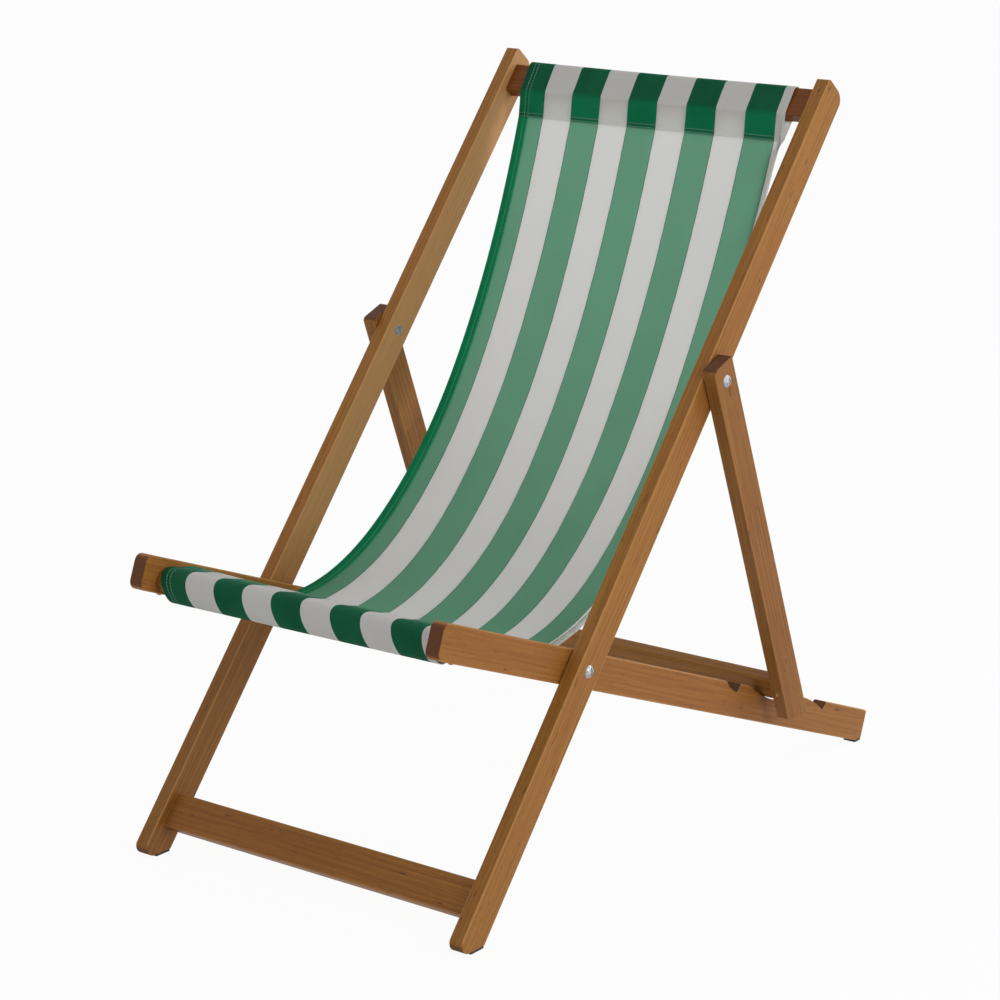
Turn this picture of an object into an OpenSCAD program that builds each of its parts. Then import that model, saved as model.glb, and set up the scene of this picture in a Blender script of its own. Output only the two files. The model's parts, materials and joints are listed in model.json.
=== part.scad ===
// Folding deck chair: three hinged hardwood frames and a hanging canvas seat.
// The back frame leans back from its feet at the front, the seat frame turns on
// its lower pivots, and the prop frame hangs from its upper pivots and rests its
// crossbar in one of the notches of the seat rails. Lengths are in millimetres.
// The chair faces -Y, its left and right sides are -X and +X, and z = 0 is the floor.

/* [Widths] */
// Clear width between the two seat rails
inner_w = 464; // [400:1:540]
// Gap between neighbouring frames, filled by a washer
side_gap = 1.2; // [0.8:0.1:3]

/* [Timber] */
// Thickness of every rail and strut
rail_t = 20; // [16:0.5:26]
// Width of the back rails
rail_w = 46; // [40:0.5:56]
// Width of the seat rails
seat_rail_w = 47; // [42:0.5:58]
// Width of the prop struts
strut_w = 44; // [38:0.5:54]
// Radius of the eased long edges of rails and struts
ease_r = 1.5; // [0.5:0.1:3]
// Radius of the eased edges of the crosswise bars
bar_ease_r = 3; // [1:0.1:4.5]

/* [Back frame] */
// Slope of the back rails from the floor, degrees
back_angle = 50.3; // [47:0.1:54]
// Height of the seat pivot above the floor
pivot_z = 298; // [280:1:320]
// Distance from the seat pivot to the prop pivot
pivot_gap = 426; // [410:1:440]
// Distance from the prop pivot to the top ends of the back rails
back_above = 453; // [400:1:500]
// Extra length of the left back rail above the top of the right one
left_more = 10; // [0:1:15]
// Radius of the toe, the front corner of each back rail's foot
toe_r = 13; // [4:0.5:16]
// Radius of the heel, the rear corner of each back rail's foot
heel_r = 2; // [0.5:0.5:5]
// Radius of the front corner at the top of each back rail
back_front_r = 4; // [1:0.5:10]
// Radius of the rear corner at the top of each back rail
back_rear_r = 18; // [4:0.5:30]
// Height of the top rail
top_rail_w = 43.5; // [34:0.5:50]
// Distance from the top ends of the back rails down to the top rail
top_rail_drop = 9.5; // [5:0.5:30]
// Height of the foot stretcher
stretcher_w = 48; // [36:0.5:56]
// Distance from the heels of the back rails up to the foot stretcher
stretcher_up = 19.8; // [12:0.2:22]
// Thickness of the top rail and the foot stretcher
bar_t = 20; // [14:0.5:24]
// Distance of their front faces behind the front edges of the back rails
bar_set = 12.5; // [8:0.5:16]

/* [Seat frame] */
// Distance from the seat pivot forward to the front ends of the seat rails
seat_front = 290; // [270:1:292]
// Distance from the seat pivot back to the rear ends of the seat rails
seat_rear = 779; // [740:1:800]
// Radius of the front corners of the seat rails
seat_front_r = 11; // [4:0.5:16]
// Radius of the upper corner at the rear ends of the seat rails
seat_rear_r = 4; // [1:0.5:10]
// Length of the level foot cut along the lower edge of each seat rail
foot_run = 15; // [12:0.5:22]
// Diameter of the round front rail
front_rail_d = 33; // [26:0.5:36]
// Distance from the front ends of the seat rails back to the front rail's axis
front_rail_in = 45; // [30:0.5:50]
// Height of the front rail's axis above the lower edges of the seat rails
front_rail_up = 19.5; // [15:0.5:24]

/* [Notches] */
// Depth of the notches in the seat rails
notch_depth = 12.4; // [9:0.1:15]
// Length over which the rear wall of a notch leans
notch_lean = 7; // [4:0.5:10]
// Distance from the seat pivot to the start of the front notch
notch1_start = 367; // [355:1:380]
// Length of the front notch
notch1_len = 41; // [36:1:48]
// Length of the sloping lead-in of the front notch
notch1_lead = 34; // [24:1:36]
// Distance from the seat pivot to the start of the middle notch
notch2_start = 430; // [426:1:434]
// Length of the middle notch
notch2_len = 128; // [124:1:132]
// Length of the sloping lead-in of the middle notch
notch2_lead = 76; // [66:1:80]
// Distance from the seat pivot to the start of the rear notch
notch3_start = 584; // [572:1:600]
// Length of the rear notch
notch3_len = 70; // [50:1:90]
// Length of the sloping lead-in of the rear notch
notch3_lead = 63; // [40:1:64]

/* [Prop frame] */
// Distance from the prop pivot up to the top ends of the struts
prop_above = 26; // [22:0.5:34]
// Depth of the crossbar along the struts
crossbar_w = 33; // [26:0.5:36]
// Thickness of the crossbar across the struts
crossbar_t = 21; // [16:0.5:24]
// Radius of the crossbar's long edges
crossbar_r = 4; // [2:0.5:6]
// Distance from the start of the middle notch to where the crossbar rests
rest_in = 49; // [40:1:56]
// Clearance between the crossbar and the notch
rest_gap = 0.3; // [0.2:0.05:1]
// Distance from the crossbar's lower face to the front corner of the struts' ends
prop_tail = 21; // [10:0.5:28]
// Radius of the front corner at the top of each strut
strut_front_r = 7; // [2:0.5:12]
// Radius of the other corners of each strut
strut_rear_r = 3; // [1:0.5:6]

/* [Tenons and pins] */
// Length of the tenons
tenon_len = 14; // [8:0.5:15]
// Width of the shoulder round each tenon
shoulder = 5; // [3:0.5:6]
// Clearance of a tenon in its mortise
tenon_gap = 0.1; // [0.05:0.05:0.3]
// Diameter of the locking pins
pin_d = 4; // [3:0.1:5]
// Diameter of the domed pin heads
pin_head_d = 8; // [6:0.5:9]
// Height of the domed pin heads
pin_head_h = 1.8; // [1:0.1:2.5]
// Depth to which a pin reaches past the middle of its tenon
pin_past = 5; // [3:0.5:6]
// Distance of the prop frame's pins above the middle of the crossbar
pin_up = 5; // [0:0.5:7]

/* [Pivot hardware] */
// Diameter of the pivot bolts
bolt_d = 8; // [6:0.5:9]
// Running clearance round a bolt or a pin, on the radius
bolt_fit = 0.05; // [0.02:0.01:0.1]
// Diameter of the domed bolt heads
head_d = 17; // [14:0.5:20]
// Height of the domed bolt heads
head_h = 4.5; // [3:0.1:6]
// Width of the driver slot in the bolt heads
slot_w = 1.8; // [1:0.1:2.5]
// Depth of the driver slot
slot_deep = 2; // [1:0.1:2.5]
// Diameter of the washers between the frames
washer_d = 20; // [16:0.5:24]
// Thickness of the washers between the frames
washer_t = 1.1; // [0.5:0.05:1.2]
// Width of the seat pivot nuts across their flats
nut_af = 13; // [12:0.5:15]
// Height of the seat pivot nuts
nut_h = 6; // [4:0.5:6.5]
// Length of bolt past the nut
bolt_past = 0.8; // [0.4:0.1:1]
// Diameter of the flange of the flush nuts at the prop pivots
flange_d = 16; // [14:0.5:20]
// Thickness of that flange
flange_t = 2.5; // [1.5:0.1:3.5]
// Outer diameter of the flush nut's barrel
barrel_d = 11; // [10:0.1:12]
// Length of the flush nut with its flange
barrel_len = 12; // [8:0.5:13]
// Depth of the prop pivot bolts' ends inside their flush nuts
bolt_sink = 1; // [0.5:0.1:2]

/* [Feet] */
// Thickness of the pads under the feet
pad_t = 3; // [2:0.5:5]
// Length of the front pads
front_pad_len = 26; // [18:0.5:28]
// Diameter of the nails that hold the pads
nail_d = 2.5; // [2:0.1:3]
// Diameter of the nail heads, sunk in the pads
nail_head_d = 6; // [5:0.5:7]
// Height of the nail heads
nail_head_h = 0.6; // [0.4:0.1:1.2]
// Length of the nails above the pads
nail_len = 15; // [10:0.5:20]

/* [Canvas] */
// Gap between the seat rails and each side edge of the canvas
canvas_side = 8; // [7:0.5:30]
// Thickness of the canvas
canvas_t = 1.4; // [0.8:0.1:2]
// Clearance between the canvas and the wood
canvas_gap = 0.3; // [0.2:0.1:1]
// Distance from the lower edge of the top rail down to the upper hem
hem_drop = 30; // [26:0.5:60]
// Distance of the upper hem behind the front face of the top rail
hem_back = 26; // [20:0.5:44]
// Depth of the hollow between the top rail and the upper hem
hem_hollow = 5; // [1:0.5:8]
// Radius of the bend at the bottom of that hollow
hollow_r = 16; // [8:1:24]
// Distance from the front rail's axis back to the front hem
front_hem = 51; // [40:1:70]
// Height of the canvas above the axis of the seat pivots
canvas_low = 14; // [10:0.5:16]
// Depth by which the middle of the canvas sags below its edges
canvas_belly = 15; // [0:0.5:20]
// Height by which the right edge of the canvas is pulled up above the left one
canvas_lift = 28; // [0:1:34]
// Slack of the lower sleeve below the front rail
front_slack = 10; // [0:0.5:12]
// Steepness of the canvas below the upper hem, degrees
canvas_fall = 67; // [62:0.5:76]

/* [Hidden] */
$fn = 48;
// Overshoot of the shapes that cut, and room past the tip of a nail
cut = 1;
side = [-1, 1];
// Largest angle between the points of an arc, and steps of a notch's lead-in
arc_angle = 7;
lead_steps = 8;
// Rows and columns of the hanging canvas, and the share of rows above the pivots
span_rows = 30;
span_cols = 10;
back_ratio = 0.7;
// How far each curve of the canvas keeps its end's direction, as a share of its chord
top_ratio = 0.3;
low_ratio = 0.35;
front_ratio = 0.5;

// Planes across the chair, from the seat rails out to the struts
seat_in = inner_w / 2;
seat_out = seat_in + rail_t;
back_in = seat_out + side_gap;
back_out = back_in + rail_t;
prop_in = back_out + side_gap;
prop_out = prop_in + rail_t;
canvas_w = inner_w - 2 * canvas_side;

// The rear feet of the seat rails stand on their pads, which sets the seat's slope
foot_arm = seat_rear - foot_run;
foot_angle = atan2(seat_rail_w / 2, foot_arm);
seat_angle = asin((pivot_z - pad_t) / norm([foot_arm, seat_rail_w / 2])) - foot_angle;

// The chair's depth is centred on the origin
rear_y = (seat_rear - seat_rear_r) * cos(seat_angle)
    + (seat_rail_w / 2 - seat_rear_r) * sin(seat_angle) + seat_rear_r;
front_y = (seat_front - seat_front_r) * cos(seat_angle)
    + (seat_rail_w / 2 - seat_front_r) * sin(seat_angle) + seat_front_r;
pivot_y = (front_y - rear_y) / 2;
seat_pivot = [pivot_y, pivot_z];
prop_pivot = seat_pivot + pivot_gap * [cos(back_angle), sin(back_angle)];

// Side profile of a back rail, along the rail from the seat pivot
back_top = pivot_gap + back_above;
function level_cut(face) = (pad_t - pivot_z - face * cos(back_angle)) / sin(back_angle);
top_rail_y = back_top - top_rail_drop - top_rail_w;
bar_face = rail_w / 2 - bar_set;

// Notches: each has a curved lead-in, a level floor and a leaning rear wall
function dip(s, bow) = s + bow * (sin(90 * s) - s);
function lead_in(start, lead, bow) =
    [for (i = [0:lead_steps]) let(s = i / lead_steps)
        [start + lead * s, seat_rail_w / 2 - notch_depth * dip(s, bow)]];
function notch(start, len, lead, bow) = concat([[start, seat_rail_w / 2 + cut]],
    lead_in(start, lead, bow),
    [[start + len - notch_lean, seat_rail_w / 2 - notch_depth],
     [start + len, seat_rail_w / 2], [start + len, seat_rail_w / 2 + cut]]);

// The crossbar's lower front edge rests on the middle notch's lead-in
rest_s = rest_in / notch2_lead;
rest_slope = atan2(notch_depth / notch2_lead * 90 * cos(90 * rest_s) * PI / 180, 1);
edge_seat = [notch2_start + rest_in, seat_rail_w / 2 - notch_depth * dip(rest_s, 1)]
    + (crossbar_r + rest_gap) * [sin(rest_slope), cos(rest_slope)];
edge_point = seat_pivot + turned(edge_seat, -seat_angle);
edge_side = crossbar_r - crossbar_t / 2;
edge_down = sqrt(pow(norm(edge_point - prop_pivot), 2) - pow(edge_side, 2));
prop_angle = atan2(edge_point[1] - prop_pivot[1], edge_point[0] - prop_pivot[0])
    - atan2(edge_side, edge_down);
crossbar_low = edge_down + crossbar_r;
crossbar_y = crossbar_low - crossbar_w / 2;
strut_len = crossbar_low + prop_tail;

function turned(p, a) = [p[0] * cos(a) - p[1] * sin(a), p[0] * sin(a) + p[1] * cos(a)];
function unit(v) = v / norm(v);

// Canvas: hem points in the side plane, and the curve between them
skin = canvas_gap + canvas_t / 2;
hem = [top_rail_y - hem_drop, bar_face - hem_back];
crease = [top_rail_y, bar_face + skin];
hollow = crease + (hem - crease) / 3 - [0, hem_hollow];
hem_dir = unit(hem - hollow);
hem_under = hem + (canvas_t + canvas_gap) * [-hem_dir[1], hem_dir[0]];
front_axis = [front_rail_in - seat_front, front_rail_up - seat_rail_w / 2];
front_hem_point = front_axis + [front_hem, front_rail_d / 2];
front_under = front_hem_point - [0, canvas_t + canvas_gap];
wrap_r = front_rail_d / 2 + skin + front_slack / 2;
wrap_axis = front_axis + front_slack / 2 * unit([3, -4]);
span_top = seat_pivot + turned(hem, back_angle);
span_low = seat_pivot + [0, canvas_low];
span_front = seat_pivot + turned(front_hem_point, -seat_angle);
back_chord = norm(span_top - span_low);
seat_chord = norm(span_front - span_low);
// It starts half its thickness below the hem, so that its corner clears the sleeve
back_curve = [span_top - canvas_t / 2 * [cos(canvas_fall), sin(canvas_fall)],
    span_top - top_ratio * back_chord * [cos(canvas_fall), sin(canvas_fall)],
    span_low + low_ratio * back_chord * [1, 0], span_low];
seat_curve = [span_low, span_low - low_ratio * seat_chord * [1, 0],
    span_front + front_ratio * seat_chord * [cos(seat_angle), -sin(seat_angle)],
    span_front + canvas_gap * [cos(seat_angle), -sin(seat_angle)]];
function bezier(p, t) = pow(1 - t, 3) * p[0] + 3 * t * pow(1 - t, 2) * p[1]
    + 3 * t * t * (1 - t) * p[2] + pow(t, 3) * p[3];
back_rows = round(span_rows * back_ratio);
span_path = concat([for (i = [0:back_rows]) bezier(back_curve, i / back_rows)],
    [for (i = [1:span_rows - back_rows]) bezier(seat_curve, i / (span_rows - back_rows))]);

// Points of an arc that rounds the corner b between a and c
function corner(a, b, c, r) = let(u = unit(a - b), w = unit(c - b),
    half = acos(u * w) / 2, centre = b + unit(u + w) * r / sin(half),
    from = b + u * r / tan(half) - centre, to = b + w * r / tan(half) - centre,
    a0 = atan2(from[1], from[0]), turn = (atan2(to[1], to[0]) - a0 + 540) % 360 - 180,
    n = max(2, ceil(abs(turn) / arc_angle)))
    [for (i = [0:n]) centre + r * [cos(a0 + turn * i / n), sin(a0 + turn * i / n)]];
// Closed outline with a radius at each corner
function outline(p, r) = let(n = len(p))
    [for (i = [0:n - 1]) each corner(p[(i + n - 1) % n], p[i], p[(i + 1) % n], r[i])];
// Open line with a radius at each inner corner
function bent(p, r) = concat([p[0]],
    [for (i = [1:len(p) - 2]) each corner(p[i - 1], p[i], p[i + 1], r[i - 1])], [p[len(p) - 1]]);
// Normal of an open line at one of its points, longer at bends so the width stays even
function normal(p, i) = let(a = unit(p[min(i + 1, len(p) - 1)] - p[min(i, len(p) - 2)]),
    b = unit(p[max(i, 1)] - p[max(i - 1, 0)]), n = unit([-a[1] - b[1], a[0] + b[0]]))
    n / (n * [-a[1], a[0]]);
// Outline of a band of the given width along an open line
function band(p, t) = concat([for (i = [0:len(p) - 1]) p[i] + normal(p, i) * t / 2],
    [for (i = [len(p) - 1:-1:0]) p[i] - normal(p, i) * t / 2]);

// Places what is drawn along a frame at that frame's pivot and slope
module on_back() {
    translate([0, pivot_y, pivot_z]) rotate([back_angle, 0, 0]) children();
}
module on_seat() {
    translate([0, pivot_y, pivot_z]) rotate([-seat_angle, 0, 0]) children();
}
module on_prop() {
    translate([0, prop_pivot[0], prop_pivot[1]]) rotate([prop_angle, 0, 0]) children();
}
// Extrudes a side profile across the chair from x0
module across(x0, t) {
    translate([x0, 0, 0]) rotate([90, 0, 90]) linear_extrude(t) children();
}
// Cylinder across the chair at a point of the side plane
module rod(x0, t, p, d) {
    translate([x0, p[0], p[1]]) rotate([0, 90, 0]) cylinder(h = t, d = d);
}
// Domed head with its flat face at the origin, rising along +Z
module dome(d, h) {
    r = (d * d / 4 + h * h) / (2 * h);
    intersection() {
        translate([0, 0, h - r]) sphere(r = r, $fn = 96);
        cylinder(h = h, d = d);
    }
}
// Rectangle with rounded corners, centred
module rounded(w, h, r) {
    square([w - 2 * r, h], center = true);
    square([w, h - 2 * r], center = true);
    for (x = side) {
        for (y = side) {
            translate([x * (w / 2 - r), y * (h / 2 - r)]) circle(r);
        }
    }
}
// Bar of the given width with eased long edges, from y0 to y1
module stick(x0, w, y0, y1) {
    translate([x0 + rail_t / 2, y0, 0]) rotate([-90, 0, 0])
        linear_extrude(y1 - y0) rounded(rail_t, w, ease_r);
}
// Crosswise bar with a tenon at each end, its middle at a point of the side plane
module tenoned(half, p, w, t, r) {
    translate([0, p[0], p[1]]) rotate([90, 0, 90]) {
        linear_extrude(2 * half, center = true) rounded(w, t, r);
        linear_extrude(2 * (half + tenon_len), center = true)
            square([w - 2 * shoulder, t - 2 * shoulder], center = true);
    }
}
// Mortise that takes the tenon of a crosswise bar, cut outwards from x0
module mortise(x0, p, w, t) {
    across(x0 - cut, tenon_len + tenon_gap + cut) translate(p)
        square([w - 2 * (shoulder - tenon_gap), t - 2 * (shoulder - tenon_gap)], center = true);
}
// Locking pin driven along +Z from the origin
module pin(deep, fit) {
    cylinder(h = deep + fit, d = pin_d + 2 * fit);
}
module headed_pin(deep) {
    pin(deep, 0);
    rotate([180, 0, 0]) dome(pin_head_d, pin_head_h);
}
// Slotted bolt head on a plane across the chair, facing outwards
module bolt_head(x0) {
    translate([x0, 0, 0]) rotate([0, 90, 0]) difference() {
        dome(head_d, head_h);
        translate([-head_d, -slot_w / 2, head_h - slot_deep]) cube([2 * head_d, slot_w, head_h]);
    }
}

// Centres and depths of the locking pins, shared by pins and holes
pin_mid = tenon_len / 2;
rear_face = -rail_w / 2;
bar_mid = bar_face - bar_t / 2;
stretcher_mid = level_cut(rear_face) + stretcher_up + stretcher_w / 2;
top_mid = top_rail_y + top_rail_w / 2;
bar_pin_deep = bar_mid - rear_face + pin_past;
front_pin_deep = front_rail_up + pin_past;
strut_pin_deep = strut_w / 2 + pin_past;
module bar_pin_place(y) {
    translate([back_in + pin_mid, y, rear_face]) children();
}
module front_pin_place() {
    translate([seat_in + pin_mid, front_axis[0], -seat_rail_w / 2]) children();
}
module strut_pin_place() {
    translate([prop_in + pin_mid, crossbar_y - pin_up, -strut_w / 2]) children();
}
// Rear corners of the feet, and the middles of the pads
heel_y = pivot_y + turned([level_cut(rear_face), rear_face], back_angle)[0];
front_pad_y = heel_y - heel_r - front_pad_len / 2;
rear_pad_len = foot_run / cos(seat_angle);
rear_pad_y = pivot_y + turned([foot_arm, -seat_rail_w / 2], -seat_angle)[0] + rear_pad_len / 2;
module nail_hole(x, y) {
    translate([x, y, pad_t - cut]) cylinder(h = nail_len + 2 * cut, d = nail_d + 2 * bolt_fit);
}

module back_rail(more) {
    difference() {
        on_back() difference() {
            intersection() {
                across(back_in, rail_t) polygon(outline([
                    [level_cut(rail_w / 2), rail_w / 2], [level_cut(-rail_w / 2), -rail_w / 2],
                    [back_top + more, -rail_w / 2], [back_top + more, rail_w / 2]],
                    [toe_r, heel_r, back_rear_r, back_front_r]));
                stick(back_in, rail_w, level_cut(rail_w / 2) - cut, back_top + more + cut);
            }
            rod(back_in - cut, rail_t + 2 * cut, [0, 0], bolt_d + 2 * bolt_fit);
            rod(back_in - cut, rail_t + 2 * cut, [pivot_gap, 0], bolt_d + 2 * bolt_fit);
            rod(back_in - cut, flange_t + cut, [pivot_gap, 0], flange_d + 2 * bolt_fit);
            rod(back_in - cut, barrel_len + cut, [pivot_gap, 0], barrel_d + 2 * bolt_fit);
            mortise(back_in, [top_mid, bar_mid], top_rail_w, bar_t);
            mortise(back_in, [stretcher_mid, bar_mid], stretcher_w, bar_t);
            bar_pin_place(top_mid) pin(bar_pin_deep, bolt_fit);
            bar_pin_place(stretcher_mid) pin(bar_pin_deep, bolt_fit);
        }
        nail_hole(back_in + rail_t / 2, front_pad_y);
    }
}
module back_rail_left() {
    color("peru") mirror([1, 0, 0]) back_rail(left_more);
}
module back_rail_right() {
    color("peru") back_rail(0);
}

// Crosswise bars of the back frame
module back_bar(y, w) {
    difference() {
        tenoned(back_in, [y, bar_mid], w, bar_t, bar_ease_r);
        for (s = [0, 1]) {
            mirror([s, 0, 0]) bar_pin_place(y) pin(bar_pin_deep, bolt_fit);
        }
    }
}
module top_rail() {
    color("sienna") on_back() back_bar(top_mid, top_rail_w);
}
module foot_stretcher() {
    color("sienna") on_back() back_bar(stretcher_mid, stretcher_w);
}
module back_pins(y) {
    for (s = [0, 1]) {
        mirror([s, 0, 0]) bar_pin_place(y) headed_pin(bar_pin_deep);
    }
}
module stretcher_pins() {
    color("goldenrod") on_back() back_pins(stretcher_mid);
}
module top_rail_pins() {
    color("goldenrod") on_back() back_pins(top_mid);
}

module seat_rail() {
    top = seat_rail_w / 2;
    cut_up = foot_run * tan(seat_angle);
    difference() {
        on_seat() difference() {
            intersection() {
                across(seat_in, rail_t) polygon(outline([
                    [-seat_front, top], [-seat_front, -top], [foot_arm, -top],
                    [seat_rear, cut_up - top], [seat_rear, top]],
                    [seat_front_r, seat_front_r, heel_r, heel_r, seat_rear_r]));
                stick(seat_in, seat_rail_w, -seat_front - cut, seat_rear + cut);
            }
            across(seat_in - cut, rail_t + 2 * cut) {
                polygon(notch(notch1_start, notch1_len, notch1_lead, 1));
                polygon(notch(notch2_start, notch2_len, notch2_lead, 1));
                polygon(notch(notch3_start, notch3_len, notch3_lead, -1));
            }
            rod(seat_in - cut, rail_t + 2 * cut, [0, 0], bolt_d + 2 * bolt_fit);
            rod(seat_in - cut, tenon_len + tenon_gap + cut, front_axis,
                front_rail_d - 2 * (shoulder - tenon_gap));
            front_pin_place() pin(front_pin_deep, bolt_fit);
        }
        nail_hole(seat_in + rail_t / 2, rear_pad_y);
    }
}
module seat_rail_left() {
    color("chocolate") mirror([1, 0, 0]) seat_rail();
}
module seat_rail_right() {
    color("chocolate") seat_rail();
}
module front_rail() {
    color("sienna") on_seat() difference() {
        union() {
            rod(-seat_in, 2 * seat_in, front_axis, front_rail_d);
            rod(-seat_in - tenon_len, 2 * (seat_in + tenon_len), front_axis,
                front_rail_d - 2 * shoulder);
        }
        for (s = [0, 1]) {
            mirror([s, 0, 0]) front_pin_place() pin(front_pin_deep, bolt_fit);
        }
    }
}
module front_rail_pins() {
    color("goldenrod") on_seat() for (s = [0, 1]) {
        mirror([s, 0, 0]) front_pin_place() headed_pin(front_pin_deep);
    }
}

module prop_strut() {
    // The lower end is cut level, like a foot
    rise = strut_w * tan(90 + prop_angle);
    on_prop() difference() {
        intersection() {
            across(prop_in, rail_t) polygon(outline([
                [-prop_above, -strut_w / 2], [strut_len, -strut_w / 2],
                [strut_len + rise, strut_w / 2], [-prop_above, strut_w / 2]],
                [strut_front_r, strut_rear_r, strut_rear_r, strut_rear_r]));
            stick(prop_in, strut_w, -prop_above - cut, strut_len + rise + cut);
        }
        rod(prop_in - cut, rail_t + 2 * cut, [0, 0], bolt_d + 2 * bolt_fit);
        mortise(prop_in, [crossbar_y, 0], crossbar_w, crossbar_t);
        strut_pin_place() pin(strut_pin_deep, bolt_fit);
    }
}
module prop_strut_left() {
    color("burlywood") mirror([1, 0, 0]) prop_strut();
}
module prop_strut_right() {
    color("burlywood") prop_strut();
}
module prop_crossbar() {
    color("sienna") on_prop() difference() {
        tenoned(prop_in, [crossbar_y, 0], crossbar_w, crossbar_t, crossbar_r);
        for (s = [0, 1]) {
            mirror([s, 0, 0]) strut_pin_place() pin(strut_pin_deep, bolt_fit);
        }
    }
}
module crossbar_pins() {
    color("goldenrod") on_prop() for (s = [0, 1]) {
        mirror([s, 0, 0]) strut_pin_place() headed_pin(strut_pin_deep);
    }
}

// Bolts, washers and nuts of the two pairs of pivots
module seat_pivot_bolts() {
    end_x = seat_in - nut_h - bolt_past;
    color("silver") translate([0, pivot_y, pivot_z]) for (s = [0, 1]) {
        mirror([s, 0, 0]) {
            rod(end_x, back_out - end_x, [0, 0], bolt_d);
            bolt_head(back_out);
        }
    }
}
module washers(x0, p) {
    for (s = [0, 1]) {
        mirror([s, 0, 0]) difference() {
            rod(x0 + (side_gap - washer_t) / 2, washer_t, p, washer_d);
            rod(x0 - cut, side_gap + 2 * cut, p, bolt_d + 2 * bolt_fit);
        }
    }
}
module seat_pivot_washers() {
    color("silver") washers(seat_out, seat_pivot);
}
module seat_pivot_nuts() {
    color("silver") for (s = [0, 1]) {
        mirror([s, 0, 0]) difference() {
            translate([seat_in - nut_h, pivot_y, pivot_z]) rotate([0, 90, 0])
                cylinder(h = nut_h, d = nut_af / cos(30), $fn = 6);
            rod(seat_in - nut_h - cut, nut_h + 2 * cut, seat_pivot, bolt_d + 2 * bolt_fit);
        }
    }
}
module prop_pivot_bolts() {
    end_x = back_in + bolt_sink;
    color("silver") translate([0, prop_pivot[0], prop_pivot[1]]) for (s = [0, 1]) {
        mirror([s, 0, 0]) {
            rod(end_x, prop_out - end_x, [0, 0], bolt_d);
            bolt_head(prop_out);
        }
    }
}
module prop_pivot_washers() {
    color("silver") washers(back_out, prop_pivot);
}
module prop_pivot_nuts() {
    color("silver") for (s = [0, 1]) {
        mirror([s, 0, 0]) difference() {
            union() {
                rod(back_in, flange_t, prop_pivot, flange_d);
                rod(back_in, barrel_len, prop_pivot, barrel_d);
            }
            rod(back_in - cut, barrel_len + 2 * cut, prop_pivot, bolt_d + 2 * bolt_fit);
        }
    }
}

// Pads under the feet, each held by a nail whose head is sunk in the pad
module pads(x, y, len) {
    for (s = side) {
        difference() {
            translate([s * x, y, 0]) linear_extrude(pad_t) rounded(rail_t, len, ease_r);
            translate([s * x, y, -cut]) cylinder(h = pad_t + 2 * cut, d = nail_d + 2 * bolt_fit);
            translate([s * x, y, -cut]) cylinder(h = pad_t / 2 + cut, d = nail_head_d + 2 * bolt_fit);
        }
    }
}
module nails(x, y) {
    for (s = side) {
        translate([s * x, y, pad_t / 2 - nail_head_h]) {
            cylinder(h = nail_head_h, d = nail_head_d);
            cylinder(h = nail_head_h + pad_t / 2 + nail_len, d = nail_d);
        }
    }
}
module front_pads() {
    color("black") pads(back_in + rail_t / 2, front_pad_y, front_pad_len);
}
module front_pad_nails() {
    color("silver") nails(back_in + rail_t / 2, front_pad_y);
}
module rear_pads() {
    color("black") pads(seat_in + rail_t / 2, rear_pad_y, rear_pad_len);
}
module rear_pad_nails() {
    color("silver") nails(seat_in + rail_t / 2, rear_pad_y);
}

// Upper sleeve: wraps the top rail and closes at the hem behind it
module canvas_top_sleeve() {
    back = bar_face - bar_t - skin;
    r = bar_ease_r + skin;
    path = bent([hem, hollow, crease, [top_rail_y + top_rail_w + skin, bar_face + skin],
        [top_rail_y + top_rail_w + skin, back], [top_rail_y, back], hem_under],
        [hollow_r, r, r, r, r]);
    color("seagreen") on_back() across(-canvas_w / 2, canvas_w) polygon(band(path, canvas_t));
}
// Front sleeve: wraps the front rail and closes at the hem behind it
module canvas_front_sleeve() {
    reach = front_hem_point - wrap_axis;
    low = front_under - wrap_axis;
    a0 = atan2(reach[1], reach[0]) + acos(wrap_r / norm(reach));
    a1 = atan2(low[1], low[0]) + 360 - acos(wrap_r / norm(low));
    turns = ceil((a1 - a0) / arc_angle);
    path = concat([front_hem_point],
        [for (i = [0:turns]) let(a = a0 + (a1 - a0) * i / turns)
            wrap_axis + wrap_r * [cos(a), sin(a)]], [front_under]);
    color("seagreen") on_seat() across(-canvas_w / 2, canvas_w) polygon(band(path, canvas_t));
}
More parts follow.
